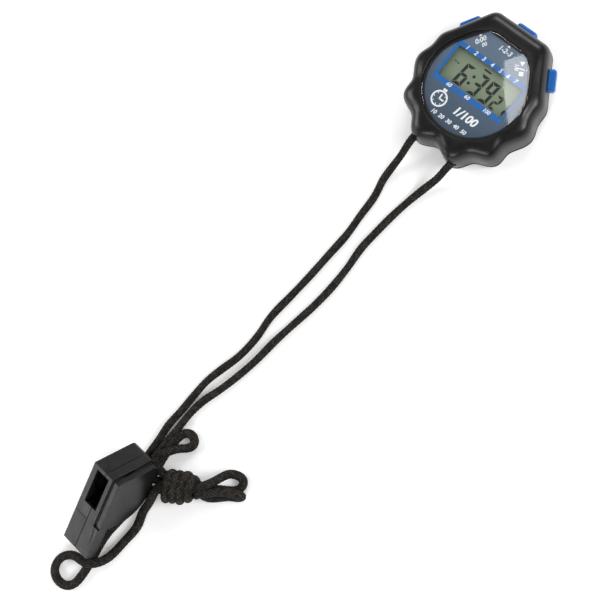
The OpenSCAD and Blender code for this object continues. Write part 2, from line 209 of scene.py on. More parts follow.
def lens_material():
    """Clear, with a faint mirror that grows towards grazing angles."""
    m, t, clear = clear_surface("lens_clear", (0.965, 0.972, 0.978))
    gloss = node(t, "ShaderNodeBsdfGlossy")
    gloss.inputs["Color"].default_value = (1, 1, 1, 1)
    wear = noise(t, 90, 5)
    t.links.new(ramp(t, wear.outputs["Fac"], [(0.35, (0.015,) * 3), (0.75, (0.05,) * 3)]),
                gloss.inputs["Roughness"])
    facing = node(t, "ShaderNodeLayerWeight", i_Blend=0.5).outputs["Facing"]
    mixer = node(t, "ShaderNodeMixShader")
    t.links.new(math_node(t, "MULTIPLY_ADD", math_node(t, "POWER", facing, 5), 0.8, 0.045), mixer.inputs[0])
    t.links.new(clear.outputs[0], mixer.inputs[1])
    t.links.new(gloss.outputs[0], mixer.inputs[2])
    t.links.new(mixer.outputs[0], t.nodes["Material Output"].inputs["Surface"])
    return m


M = {
    "case_plastic": plastic("case_black", (0.0045, 0.0043, 0.0042), (0.0075, 0.0072, 0.007), 0.31, 0.05,
                            grain=5200, depth=0.000006, shine=0.3),
    "back_plastic": plastic("back_black", (0.005, 0.0048, 0.0047), (0.008, 0.0077, 0.0075), 0.38, 0.06,
                            grain=4200, depth=0.000012, shine=0.36),
    "button_blue": plastic("button_blue", (0.001, 0.095, 0.38), (0.001, 0.12, 0.46), 0.3, 0.05,
                           grain=3000, depth=0.000006, shine=0.4),
    "seal_rubber": flat("seal_rubber", (0.008, 0.008, 0.008), (0.02, 0.02, 0.02), 0.75, 900, 0.00002),
    "lcd_glass": flat("lcd_green", (0.165, 0.205, 0.135), (0.19, 0.235, 0.155), 0.4, 45),
    "foil": metal("foil", (0.62, 0.63, 0.64), (0.8, 0.8, 0.81), 0.3),
    "frame_plastic": plastic("frame_ivory", (0.62, 0.59, 0.5), (0.7, 0.67, 0.58), 0.5),
    "elastomer": flat("elastomer", (0.5, 0.24, 0.28), (0.62, 0.33, 0.37), 0.6, 2500, 0.00003),
    "board_laminate": flat("board_green", (0.01, 0.07, 0.025), (0.02, 0.13, 0.045), 0.35, 700, 0.00002),
    "epoxy": flat("epoxy", (0.004, 0.004, 0.004), (0.012, 0.012, 0.012), 0.25, 500, 0.00003),
    "bright_steel": metal("bright_steel", (0.5, 0.51, 0.52), (0.68, 0.69, 0.7), 0.28, 700, (1, 12, 1)),
    "screw_steel": metal("screw_steel", (0.34, 0.34, 0.35), (0.5, 0.5, 0.51), 0.36, 1500),
    "ceramic": flat("ceramic", (0.2, 0.12, 0.07), (0.3, 0.2, 0.12), 0.5, 1500),
    "contact_brass": metal("contact_brass", (0.55, 0.42, 0.16), (0.75, 0.6, 0.28), 0.3, 900, (1, 8, 1)),
    "insulator": flat("insulator", (0.42, 0.33, 0.1), (0.56, 0.45, 0.16), 0.25, 200),
    "whistle_plastic": plastic("whistle_black", (0.006, 0.006, 0.006), (0.01, 0.01, 0.01), 0.33, 0.06,
                               grain=2600, depth=0.00002, shine=0.3),
    "braided_cord": flat("cord_core", (0.012, 0.01, 0.008), (0.03, 0.024, 0.018), 0.9, 900, 0.0001),
    # the face is darker towards the bottom and lighter towards the top
    "printed_face": gradient("face_paint_blue_grey", (0.036, 0.062, 0.1), (0.105, 0.15, 0.21), -26, 24,
                             0.5, 0.15),
    "clear_lens": flat("lens_plain", (0.5, 0.5, 0.5), (0.6, 0.6, 0.6), 0.1),
}
BLUE = flat("print_blue", (0.001, 0.095, 0.34), (0.002, 0.12, 0.41), 0.4, 3000)
WHITE = flat("print_white", (0.72, 0.74, 0.76), (0.82, 0.83, 0.84), 0.5, 3000)
INK = flat("lcd_ink", (0.002, 0.003, 0.002), (0.006, 0.007, 0.005), 0.5, 2000)


def mesh_object(name, verts, faces, mat, smooth=True):
    me = bpy.data.meshes.new(name)
    me.from_pydata([tuple(v) for v in verts], [], [tuple(f) for f in faces])
    me.update()
    if smooth:
        me.polygons.foreach_set("use_smooth", [True] * len(me.polygons))
    me.materials.append(mat)
    ob = bpy.data.objects.new(name, me)
    scene.collection.objects.link(ob)
    return ob


# ---------------------------------------------------------------- cord
# The route runs from the left port round the hank and the whistle and back to the right port.
LEFT = [[-10.2, -31.2, 10.5], [-11, -34, 10.5], [-11.3, -39, 10], [-11.5, -45.5, 7],
        [-12.5, -52, 3.4], [-12.7, -59, 1.9], [-10.9, -68, 1.9], [-10.6, -79, 1.9],
        [-10.1, -90, 1.9], [-11, -103, 1.9], [-11.9, -116, 1.9], [-13.2, -129, 1.9],
        [-14.6, -142, 1.9], [-13.9, -154, 1.9], [-14.9, -165.5, 1.9], [-17.7, -175.5, 1.9],
        [-20, -184.5, 1.9], [-20.6, -193.5, 1.9], [-20.9, -203, 1.9], [-21.6, -212, 1.9],
        [-21, -218.5, 1.9], [-20.8, -225, 1.9], [-20.4, -229.6, 2.4], [-18.8, -233, 4.2],
        [-15.4, -235.4, 5.3], [-11, -235.8, 5.8]]
RIGHT_RUN = [[10.2, -31.2, 10.5], [11, -34, 10.5], [10.4, -38, 10.2], [9.3, -44, 7.6],
             [6.6, -50.5, 4], [4.6, -56, 2.1], [3.2, -62, 1.9], [1.6, -71, 1.9], [0.4, -81, 1.9],
             [-0.5, -91, 1.9], [0.1, -102, 1.9], [-0.1, -114, 1.9], [-1.4, -126, 1.9],
             [-3.6, -138, 1.9], [-5.8, -150.5, 1.9], [-7.3, -163, 1.9], [-9.7, -174.5, 1.9],
             [-12.5, -184.5, 1.9], [-15.4, -193, 1.9], [-16.7, -201.5, 1.9], [-16.8, -211, 1.9],
             [-17.2, -218, 1.9], [-17.3, -225, 1.9]]
BIGHT = [[-10.2, -229.8, 7.4], [-13.6, -229.8, 6.4], [-15.4, -227.4, 5.8], [-14.6, -224.6, 5.8],
         [-12.6, -221.6, 5.6], [-11, -218.8, 4.8], [-9, -216.3, 3], [-6.3, -213.8, 1.9],
         [-5.8, -210.8, 1.9], [-9, -208.4, 1.9], [-12.6, -209.8, 1.9], [-14, -214, 1.9],
         [-14, -220, 1.9], [-13.7, -226, 1.9], [-12.6, -231, 1.9], [-12.4, -235, 1.9],
         [-14.8, -237.4, 1.9], [-17.2, -235.6, 1.9], [-17.4, -231, 1.9]]
UPPER = [[13.8, -222.5, 5.8], [16.8, -220.2, 4], [20.9, -217.6, 2.6], [24.3, -214.7, 2],
         [25.3, -211.5, 2], [23.6, -208.9, 2], [19.8, -209.2, 2.6], [16.9, -211, 4],
         [15.6, -214.4, 6.2], [14.4, -218.1, 8.2], [12.8, -221.6, 9.6]]
LOWER = [[16.1, -225.8, 4.1], [19.8, -222.5, 2.4], [23.5, -218.9, 2], [27, -216.9, 2.2],
         [28.8, -214.8, 3.9], [27.2, -215.4, 5.8], [23.6, -217.1, 6.4], [19.4, -219.7, 7.2],
         [15.6, -223.9, 8.8]]
MOUTH = [[-4.8, -239.6, 8.4], [-4.9, -243.4, 5.2], [-5.2, -247, 2.8], [-5.4, -250.2, 1.9],
         [-4.6, -253.2, 1.9], [-3.2, -257, 1.9], [-2.9, -261, 1.9], [-3.3, -265.5, 1.9],
         [-4.2, -275.6, 1.9], [-5.4, -280.2, 3], [-7.2, -283.6, 5], [-9.8, -285.8, 6.2],
         [-13.1, -286.8, 5.4], [-17, -287.4, 3.2], [-20.6, -289.2, 1.9], [-23, -292.4, 1.9],
         [-23.2, -296.9, 1.9], [-21, -300.4, 1.9], [-16.8, -302, 1.9], [-12.4, -301.2, 1.9],
         [-10, -298, 1.9], [-9.6, -293.5, 1.9], [-9.9, -288.9, 1.9], [-10.6, -283.4, 1.9],
         [-11.8, -277, 1.9], [-12.6, -270, 1.9], [-12, -262, 1.9], [-11, -255, 1.9],
         [-10.4, -249, 1.9], [-10, -244.4, 1.9], [-8.4, -240.8, 2.4], [-6, -238.2, 4.2]]
HANK_AT = np.array([3.4, -229.9, 7.9])
HANK_TURN = math.radians(34)
HANK_AXIS = np.array([math.cos(HANK_TURN), math.sin(HANK_TURN), 0])
HANK_SIDE = np.array([-math.sin(HANK_TURN), math.cos(HANK_TURN), 0])
HANK_UP = np.array([0, 0, 1.0])
WRAP_TURNS, WRAP_STEPS, WRAP_FIRST = 4.625, 16, 150
CORD_STEP, CORD_REST, CORD_SIDES = 0.25, 1.9, 48
CORD_R, STRAND_RISE = 1.66, 0.26
TAUT_RUN, EASE, SLACK_SWELL = 206.0, 25, 0.32


def at_hank(s, v, w):
    return (HANK_AT + s * HANK_AXIS + v * HANK_SIDE + w * HANK_UP).tolist()


def core(v, w, order=1):
    """One strand straight through the middle of the hank."""
    return [at_hank(s * order, v, w) for s in (-9, -4.5, 0, 4.5, 8.5)]


def wraps():
    """The turns round the hank, from its far end to its near one, hand-tied and so uneven."""
    out = []
    n = int(WRAP_TURNS * WRAP_STEPS)
    for i in range(n + 1):
        t = i / n
        a = math.radians(WRAP_FIRST + 360 * WRAP_TURNS * t)
        grow = min(1, t * WRAP_TURNS / 0.8)
        r = 2.8 + (4.75 - 2.8) * grow + 1.35 * min(1, max(0, (t - 0.12) / 0.3))
        r += 0.22 * math.sin(9 * t * WRAP_TURNS + 1) - 0.5 * max(0, (t - 0.9) / 0.1)
        s = 8.6 - 17.0 * t + 0.45 * math.sin(a + 0.6) + 0.3 * math.sin(5.3 * t * WRAP_TURNS)
        out.append(at_hank(s, r * math.cos(a), r * math.sin(a)))
    return out


def spline(points, step):
    """Centripetal Catmull-Rom through the points, then even steps along it."""
    p = np.array(points, float)
    p = np.vstack([2 * p[0] - p[1], p, 2 * p[-1] - p[-2]])
    out = []
    for i in range(1, len(p) - 2):
        q = p[i - 1:i + 3]
        t = np.concatenate([[0], np.cumsum(np.linalg.norm(np.diff(q, axis=0), axis=1) ** 0.5)])
        u = np.linspace(t[1], t[2], 24, endpoint=False)[:, None]
        a1 = (t[1] - u) / (t[1] - t[0]) * q[0] + (u - t[0]) / (t[1] - t[0]) * q[1]
        a2 = (t[2] - u) / (t[2] - t[1]) * q[1] + (u - t[1]) / (t[2] - t[1]) * q[2]
        a3 = (t[3] - u) / (t[3] - t[2]) * q[2] + (u - t[2]) / (t[3] - t[2]) * q[3]
        b1 = (t[2] - u) / (t[2] - t[0]) * a1 + (u - t[0]) / (t[2] - t[0]) * a2
        b2 = (t[3] - u) / (t[3] - t[1]) * a2 + (u - t[1]) / (t[3] - t[1]) * a3
        out.append((t[2] - u) / (t[2] - t[1]) * b1 + (u - t[1]) / (t[2] - t[1]) * b2)
    c = np.vstack(out + [p[-2:-1]])
    d = np.concatenate([[0], np.cumsum(np.linalg.norm(np.diff(c, axis=0), axis=1))])
    s = np.linspace(0, d[-1], int(round(d[-1] / step)) + 1)
    return np.stack([np.interp(s, d, c[:, k]) for k in range(3)], 1)


def settle(c, radius, rounds=60):
    """Smooths the line and keeps it above the floor."""
    c = c.copy()
    for _ in range(rounds):
        c[1:-1] = 0.5 * c[1:-1] + 0.25 * (c[:-2] + c[2:])
        c[:, 2] = np.maximum(c[:, 2], radius)
    return c


def frames(c):
    """Two unit vectors across the line at each point, carried along without twist."""
    t = np.gradient(c, axis=0)
    t /= np.linalg.norm(t, axis=1)[:, None]
    a = np.zeros_like(c)
    a[0] = np.cross(t[0], [0, 0, 1])
    a[0] /= np.linalg.norm(a[0])
    for i in range(1, len(c)):
        v = a[i - 1] - t[i] * (a[i - 1] @ t[i])
        a[i] = v / np.linalg.norm(v)
    return a, np.cross(t, a)


def braid(s, th, strands=8, lay=1.9):
    """Height, up to 1, of a diamond braid and the tone of the strand on top."""
    k = strands * th / (2 * math.pi)
    a, b = k + s / lay, k - s / lay
    ia, ib = np.floor(a), np.floor(b)
    pa, pb = 1 - (2 * (a - ia) - 1) ** 2, 1 - (2 * (b - ib) - 1) ** 2
    wa = np.cos(np.pi * (b - 0.5) + np.pi * ia)
    wb = -np.cos(np.pi * (a - 0.5) + np.pi * ib)
    ha, hb = 0.62 * pa + 0.38 * wa, 0.62 * pb + 0.38 * wb
    h = np.maximum(ha, hb)
    ia, ib = ia % strands, ib % strands
    tone = np.where(ha > hb, np.sin(ia * 12.9 + np.floor(b / 2) * 4.1) * 43.7,
                    np.sin(ib * 7.3 + np.floor(a / 2) * 9.7) * 31.3)
    return np.clip(h, -0.2, 1), tone - np.floor(tone)


def swell(arc):
    """What the cord's radius gains or loses along it; it is thicker past the two taut runs."""
    uneven = 0.05 * np.sin(arc * 0.31) + 0.05 * np.sin(arc * 0.173 + 2)
    slack = np.clip((arc - TAUT_RUN) / EASE, 0, 1) * np.clip((arc[-1] - TAUT_RUN - arc) / EASE, 0, 1)
    return uneven + SLACK_SWELL * slack * slack * (3 - 2 * slack) - 0.06


def braided_tube(name, line, arc, mat):
    """A braided skin along the line; the strand attribute holds each point's height, which paints a highlight
    on the crests and shade in the valleys, and its tone.
    """
    turn = np.arange(CORD_SIDES) * 2 * math.pi / CORD_SIDES
    s, th = np.meshgrid(arc, turn, indexing="ij")
    height, tone = braid(s, th)
    across, over = frames(line)
    radius = CORD_R + swell(arc)[:, None] + STRAND_RISE * height
    out = np.cos(th)[:, :, None] * across[:, None, :] + np.sin(th)[:, :, None] * over[:, None, :]
    verts = (line[:, None, :] + radius[:, :, None] * out).reshape(-1, 3)
    verts[:, 2] = np.maximum(verts[:, 2], 0.03)
    i, j = np.meshgrid(np.arange(len(line) - 1), np.arange(CORD_SIDES), indexing="ij")
    row, nxt, jn = i * CORD_SIDES, (i + 1) * CORD_SIDES, (j + 1) % CORD_SIDES
    quads = np.stack([row + j, row + jn, nxt + jn, nxt + j], -1).reshape(-1, 4)
    me = bpy.data.meshes.new(name)
    me.vertices.add(len(verts))
    me.vertices.foreach_set("co", (verts * MM).astype(np.float32).ravel())
    me.loops.add(len(quads) * 4)
    me.polygons.add(len(quads))
    me.polygons.foreach_set("loop_start", np.arange(0, len(quads) * 4, 4))
    me.loops.foreach_set("vertex_index", quads.ravel().astype(np.int32))
    me.polygons.foreach_set("use_smooth", np.ones(len(quads), bool))
    me.update(calc_edges=True)
    me.validate()
    v = (th.ravel()[quads] / (2 * math.pi))
    seam = (v.max(1) - v.min(1)) > 0.5
    v[seam] = np.where(v[seam] < 0.5, v[seam] + 1, v[seam])
    uv = np.stack([s.ravel()[quads.ravel()] / 12.0, v.ravel()], 1)
    me.uv_layers.new(name="UVMap").data.foreach_set("uv", uv.astype(np.float32).ravel())
    # the crest height paints light and shade: the material lightens the cord's crests and darkens its valleys
    # with it
    painted_crest_shade = np.clip(height.ravel(), 0, 1)
    colour = np.stack([painted_crest_shade, tone.ravel(), painted_crest_shade, np.ones_like(painted_crest_shade)], 1)
    strand = me.attributes.new("strand", "FLOAT_COLOR", "POINT")
    strand.data.foreach_set("color", colour.astype(np.float32).ravel())
    me.materials.append(mat)
    ob = bpy.data.objects.new(name, me)
    scene.collection.objects.link(ob)
    return ob


route = (LEFT + core(1.9, -1.1) + UPPER + core(0, 2.2, -1) + MOUTH + core(-1.9, -1.1) + LOWER + wraps()
         + BIGHT + RIGHT_RUN[::-1])
line = settle(spline(route, CORD_STEP), CORD_REST)
arc = np.concatenate([[0], np.cumsum(np.linalg.norm(np.diff(line, axis=0), axis=1))])
cord = braided_tube("lanyard_cord", line, arc, braid_material())
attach(cord, "root")
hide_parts("lanyard_left_run", "lanyard_right_run", "lanyard_rear_bight", "lanyard_mouth_loop",
            "lanyard_end_loops", "lanyard_hank")

# ---------------------------------------------------------------- watch outlines
# Outlines are radii about the centre of the lens, one for each of N even angles.
LENS_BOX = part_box("lens")
LENS_ROUND = 24.5
CENTRE = np.array([0.0, LENS_BOX[0][1] / MM + LENS_ROUND])
TOP_FLAT, SIDE_FLAT, SIDE_OFFSET, SIDE_LEAN, BUTTON_Z = 35.4, 31.8, 7.9, 32, 7.6
GRIP_END = 122
LOBES = [(0, 31), (18, 35.8), (34, 32.2), (50, 34.4), (65, 31), (84, 33), (99, 31.1), (112, 32.3),
         (GRIP_END, SIDE_FLAT)]
N = 720
ANG = np.arange(N) * 360.0 / N
HALF = np.minimum(ANG, 360 - ANG)
DIRS = np.stack([np.sin(np.radians(ANG)), -np.cos(np.radians(ANG))], 1)
UP = 180 - HALF


def soft_min(a, b, k):
    h = np.maximum(k - np.abs(a - b), 0) / k
    return np.minimum(a, b) - h * h * k / 4


def cosd(a):
    return np.cos(np.radians(a))


def grip(a):
    """The case: lobes round the lower part, and flats for the buttons above them."""
    la, lr = np.array(LOBES, float).T
    k = np.clip(np.searchsorted(la, a, "right") - 1, 0, len(la) - 2)
    t = (a - la[k]) / (la[k + 1] - la[k])
    low = lr[k] + (lr[k + 1] - lr[k]) * (1 - cosd(180 * np.clip(t, 0, 1))) / 2
    side = SIDE_FLAT / cosd(np.clip(a - GRIP_END, -5, 80))
    top = TOP_FLAT / cosd(np.clip(180 - a, -80, 80))
    return np.where(a < GRIP_END, low, soft_min(side, top, 3))


def lens_outline():
    """Round below, two leaning sides above, and a top edge."""
    lean, top = 58.8, 25.5
    upper = soft_min(LENS_ROUND / cosd(np.clip(lean - UP, -80, 80)), top / cosd(np.clip(UP, 0, 80)), 9)
    return np.where(UP < lean, upper, LENS_ROUND) + 0.2


def window_outline(left=19, right=19.4, below=6, above=12.6):
    with np.errstate(divide="ignore"):
        return np.minimum(np.where(DIRS[:, 0] > 0, right, left) / np.abs(DIRS[:, 0]),
                          np.where(DIRS[:, 1] > 0, above, below) / np.abs(DIRS[:, 1]))


def smoothed(radii, width=61):
    w = np.hanning(width)
    pad = width // 2
    return np.convolve(np.concatenate([radii[-pad:], radii, radii[:pad]]), w / w.sum(), "valid")


OUTER = grip(HALF)
MEAN = smoothed(OUTER)
LENS_R = lens_outline()
WINDOW_R = window_outline()


def shoulder(d):
    """The grip outline moved in by d, with its lobes fading out as it goes."""
    k = 0.75 * min(1, d / 6.0) ** 1.3
    return (1 - k) * OUTER + k * MEAN - d


def loft(name, rings, mat):
    """Rings of (radii, z) about the lens centre, joined into one closed skin."""
    v = np.vstack([np.column_stack([CENTRE + r[:, None] * DIRS, np.full(N, float(z))]) for r, z in rings])
    f = []
    i = np.arange(N)
    for a in range(len(rings)):
        b = (a + 1) % len(rings)
        f += np.stack([a * N + i, a * N + (i + 1) % N, b * N + (i + 1) % N, b * N + i], 1).tolist()
    ob = mesh_object(name, v * MM, f, mat)
    bm = bmesh.new()
    bm.from_mesh(ob.data)
    bmesh.ops.recalc_face_normals(bm, faces=bm.faces)
    bm.to_mesh(ob.data)
    bm.free()
    return ob


# Each button has its own frame: X out of the case, Y along the wall, Z up.
def place_mode(p):
    x, y, z = p
    return (CENTRE[0] - y, CENTRE[1] + TOP_FLAT + x, BUTTON_Z + z)


def place_start(p, side=1):
    x, y, z = SIDE_FLAT + p[0], SIDE_OFFSET + p[1], p[2]
    c, s = math.cos(math.radians(SIDE_LEAN)), math.sin(math.radians(SIDE_LEAN))
    return (side * (CENTRE[0] + c * x - s * y), CENTRE[1] + s * x + c * y, BUTTON_Z + z)


def place_reset(p):
    return place_start(p, -1)


PLACES = {"mode": (place_mode, 2.2), "start": (place_start, 3.0), "reset": (place_reset, 3.0)}


# ---------------------------------------------------------------- solids
def bar(l, h, r, n=8):
    """A rounded rectangle."""
    out = []
    for quarter, (sx, sy) in enumerate(((1, 1), (-1, 1), (-1, -1), (1, -1))):
        cx, cy = sx * (l / 2 - r), sy * (h / 2 - r)
        for k in range(n + 1):
            a = math.radians(90 * quarter + 90 * k / n)
            out.append((cx + r * math.cos(a), cy + r * math.sin(a)))
    return out


def disc(r, n=40):
    return [(r * math.cos(2 * math.pi * k / n), r * math.sin(2 * math.pi * k / n)) for k in range(n)]


def rect(w, h):
    return [(-w / 2, -h / 2), (w / 2, -h / 2), (w / 2, h / 2), (-w / 2, h / 2)]


def moved(points, dx, dy):
    return [(x + dx, y + dy) for x, y in points]


def turned(points, at, deg):
    c, s = math.cos(math.radians(deg)), math.sin(math.radians(deg))
    return [(at[0] + c * x - s * y, at[1] + s * x + c * y) for x, y in points]


def stack(sections, place):
    """A closed skin through sections (x, outline) of one local solid."""
    v, f = [], []
    n = len(sections[0][1])
    for x, o in sections:
        v += [place((x, a, b)) for a, b in o]
    for k in range(len(sections) - 1):
        f += [(k * n + i, k * n + (i + 1) % n, (k + 1) * n + (i + 1) % n, (k + 1) * n + i) for i in range(n)]
    f += [tuple(range(n))[::-1], tuple((len(sections) - 1) * n + i for i in range(n))]
    return v, f


def lathe(radii, place):
    """A round solid through (x, radius)."""
    return stack([(x, disc(r)) for x, r in radii], place)


def join(parts):
    v, f = [], []
    for pv, pf in parts:
        f += [tuple(i + len(v) for i in q) for q in pf]
        v += list(pv)
    return v, f


def solid(name, parts, mat, angle=32):
    v, f = join(parts)
    ob = mesh_object(name, np.array(v) * MM, f, mat)
    tidy(ob, angle)
    return ob


def tidy(ob, angle=32, merge=0.0, dissolve=0.0):
    """Outward normals, and smooth shading with sharp edges above the angle."""
    bm = bmesh.new()
    bm.from_mesh(ob.data)
    if merge:
        bmesh.ops.remove_doubles(bm, verts=bm.verts, dist=merge * MM)
    if dissolve:
        bmesh.ops.dissolve_limit(bm, angle_limit=math.radians(dissolve), verts=bm.verts, edges=bm.edges)
    bmesh.ops.recalc_face_normals(bm, faces=bm.faces)
    for e in bm.edges:
        e.smooth = len(e.link_faces) != 2 or e.calc_face_angle(0) < math.radians(angle)
    for q in bm.faces:
        q.smooth = True
    bm.to_mesh(ob.data)
    bm.free()


def apply_modifiers(ob):
    dg = bpy.context.evaluated_depsgraph_get()
    new = bpy.data.meshes.new_from_object(ob.evaluated_get(dg))
    old = ob.data
    ob.modifiers.clear()
    ob.data = new
    bpy.data.meshes.remove(old)


def cut(ob, other, operation="DIFFERENCE"):
    mod = ob.modifiers.new("cut", "BOOLEAN")
    mod.operation, mod.object, mod.solver = operation, other, "EXACT"
    apply_modifiers(ob)
    bpy.data.objects.remove(other)


# ---------------------------------------------------------------- case shells
INNER = OUTER - 2.2
POINT = np.full(N, 0.001)
BACK_TOP, FRONT_FOOT = 4.4, 4.7
PORT_X, PORT_Z = 11, 10.5
SCREWS = [(21.8, -18.3), (-21.8, -18.3), (13.3, 26), (-13.3, 26)]


def front_rings():
    """Sections of the front shell, from its foot up over the bezel and back down inside."""
    wall = [(0.75, FRONT_FOOT), (0.6, 4.74), (0.34, 4.86), (0.12, 5.1), (0.02, 5.5), (0.02, 7), (0.06, 9),
            (0.13, 11), (0.22, 12.6), (0.36, 14), (0.55, 15.1), (0.8, 16), (1.1, 16.8), (1.5, 17.5),
            (1.95, 18.1), (2.45, 18.6), (3.05, 19.05), (3.7, 19.4), (4.4, 19.72), (5.1, 19.98)]
    rings = [(shoulder(d), z) for d, z in wall]
    edge, rim = shoulder(wall[-1][0]), LENS_R + 0.5
    for k, (t, z) in enumerate([(0.2, 20.13), (0.4, 20.25), (0.6, 20.33), (0.8, 20.38), (1.0, 20.39)]):
        rings.append((np.maximum(edge + (rim - edge) * t, rim + 0.001 * (5 - k)), z))
    lip = [(0.32, 20.36), (0.18, 20.27), (0.1, 20.12), (0.08, 19.9), (0.08, 18)]
    rings += [(LENS_R + d, z) for d, z in lip]
    return rings + [(WINDOW_R, 18), (WINDOW_R, 16.4), (INNER, 16.4), (INNER, FRONT_FOOT)]


def back_rings():
    """Sections of the back shell, out along its underside, up the wall and back inside."""
    wall = [(5, 0), (3.1, 0.02), (2.4, 0.12), (1.8, 0.34), (1.25, 0.68), (0.8, 1.15), (0.42, 1.8), (0.2, 2.6),
            (0.06, 3.2), (0.04, 3.6), (0.12, 4.0), (0.34, 4.24), (0.6, 4.36), (0.75, BACK_TOP)]
    return ([(POINT, 0)] + [(shoulder(d), z) for d, z in wall]
            + [(INNER, BACK_TOP), (INNER, 1.8), (POINT, 1.8)])


def at_port(side):
    return lambda p: (side * PORT_X + p[1], p[0], PORT_Z + p[2])


def at_screw(spot):
    return lambda p: (spot[0] + p[1], CENTRE[1] + spot[1] + p[2], p[0])


front = loft("case_front", front_rings(), M["case_plastic"])
boss = moved(rect(13.8, 6.9), 0, 0.55)
blocks = [stack([(-7.5, boss), (-1.0, boss)], place) for place, _ in PLACES.values()]
cut(front, solid("blocks", blocks, M["case_plastic"]), "UNION")
well = bar(10.9, 5.5, 1.5)
holes = [stack([(-5, well), (12, well)], place) for place, _ in PLACES.values()]
holes += [lathe([(-9, 1.6), (-4, 1.6)], place) for place, _ in PLACES.values()]
holes += [lathe([(-26.0, 2.3), (-34.6, 2.3), (-38.0, 3.6)], at_port(side)) for side in (-1, 1)]
cut(front, solid("wells", holes, M["case_plastic"]))
tidy(front, 38)
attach(front, "root")
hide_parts("front_case")

back = loft("case_back", back_rings(), M["back_plastic"])
posts = [lathe([(1.5, 2.7), (BACK_TOP, 2.7)], at_screw(s)) for s in SCREWS]
cut(back, solid("posts", posts, M["back_plastic"]), "UNION")
counterbore = [(-1, 2.35), (0.02, 2.3), (0.25, 2.1), (1.6, 2.1), (1.6, 1.15), (6, 1.15)]
cut(back, solid("bores", [lathe(counterbore, at_screw(s)) for s in SCREWS], M["back_plastic"]))
tidy(back, 38)
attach(back, "root")
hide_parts("back_case")

# ---------------------------------------------------------------- lens
LENS_TOP = LENS_BOX[1][2] / MM
LENS_FOOT, DOME_RISE = 18.6, 0.34
foot = [(LENS_R * 0.0001, LENS_FOOT), (LENS_R - 0.05, LENS_FOOT), (LENS_R, 18.65), (LENS_R, LENS_TOP - 0.66),
        (LENS_R - 0.07, LENS_TOP - 0.52), (LENS_R - 0.22, LENS_TOP - 0.43)]
dome = [((LENS_R - 0.5) * k, LENS_TOP - DOME_RISE * k * k)
        for k in (1, 0.92, 0.82, 0.7, 0.55, 0.38, 0.2, 0.0001)]
lens = loft("lens_clear", foot + dome, lens_material())
lens.data.materials.append(clear_surface("lens_under", (0.985, 0.99, 0.992))[0])
tidy(lens, 9)
for q in lens.data.polygons:
    q.material_index = 0 if q.center.z > (LENS_TOP - 0.7) * MM else 1
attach(lens, "root")
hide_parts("lens")

# ---------------------------------------------------------------- printed face
PAINT = 0.03
Z_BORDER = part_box("face_plate")[1][2] / MM + 0.01
Z_MARKS = Z_BORDER + 0.04
Z_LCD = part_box("lcd_panel")[1][2] / MM + 0.01


def slab(outline, z, thick=PAINT):
    """A thin closed plate with the 2-D outline, standing on height z."""
    n = len(outline)
    v = [(CENTRE[0] + x, CENTRE[1] + y, z + h) for h in (0, thick) for x, y in outline]
    f = [tuple(range(n))[::-1], tuple(range(n, 2 * n))]
    return v, f + [(i, (i + 1) % n, n + (i + 1) % n, n + i) for i in range(n)]


def ring_slab(outer, inner, z):
    """The same between two outlines that have as many points each."""
    n = len(outer)
    v = [(CENTRE[0] + x, CENTRE[1] + y, z + h) for o in (outer, inner) for h in (0, PAINT) for x, y in o]
    f = []
    for i in range(n):
        j = (i + 1) % n
        f += [(n + i, n + j, 3 * n + j, 3 * n + i), (j, i, 2 * n + i, 2 * n + j),
              (i, j, n + j, n + i), (2 * n + j, 2 * n + i, 3 * n + i, 3 * n + j)]
    return v, f


def numerals(body, size, at, deg=0, bold=0.022):
    """Plain figures as thin closed shapes."""
    c = bpy.data.curves.new("figures", "FONT")
    c.body, c.size, c.extrude, c.align_x, c.align_y = body, size, PAINT / 2, "CENTER", "CENTER"
    c.resolution_u = 3
    c.shear, c.offset = 0.2, size * bold
    o = bpy.data.objects.new("figures", c)
    scene.collection.objects.link(o)
    made = bpy.data.meshes.new_from_object(o.evaluated_get(bpy.context.evaluated_depsgraph_get()))
    v = [tuple(p.co) for p in made.vertices]
    f = [tuple(q.vertices) for q in made.polygons]
    bpy.data.objects.remove(o)
    bpy.data.curves.remove(c)
    bpy.data.meshes.remove(made)
    xy = turned([(x, y) for x, y, _ in v], at, deg)
    return [(CENTRE[0] + x, CENTRE[1] + y, Z_MARKS + PAINT / 2 + w[2]) for (x, y), w in zip(xy, v)], f


def button_marks():
    """An arrow for each button, and what it does: mode, back to zero, start and stop."""
    arrow = [(-0.8, -0.6), (0.8, -0.6), (0, 0.75)]
    spots = [((0.8, 24.0), 0), ((-13.5, 20.9), 58), ((14.5, 20.3), -58)]
    out = [slab(turned(arrow, p, d), Z_MARKS) for p, d in spots]
    out += [numerals("1-2-3", 3.3, (0.5, 21.3)), numerals("0:00", 3.2, (-11.9, 18.9), 60),
            numerals("00", 2.5, (-9.2, 18.2), 60), numerals("1/0", 2.5, (9.4, 18.4), -60)]
    play, line_between = [(-3.5, -1.15), (-1.3, 0), (-3.5, 1.15)], rect(0.45, 2.9)
    signs = [(play, -60), (line_between, -75), (moved(rect(2.0, 2.0), 2.2, 0), -60)]
    return out + [slab(turned(o, (12.0, 18.9), d), Z_MARKS) for o, d in signs]


def dial_mark(at=(-10.4, -13.6)):
    """A small dial with hour ticks, two hands and a crown."""
    out = [ring_slab(moved(disc(4.0, 56), *at), moved(disc(3.2, 56), *at), Z_MARKS)]
    out += [slab(turned(moved(rect(2.6, 0.75), 1.2, 0), at, d), Z_MARKS) for d in (90, 0)]
    tick = moved(rect(0.6, 0.4), 2.75, 0)
    out += [slab(turned(tick, at, d), Z_MARKS + 0.001) for d in (45, 135, 180, 225, 270, 315)]
    return out + [slab(moved(rect(2.0, 1.1), at[0], at[1] + 4.7), Z_MARKS)]


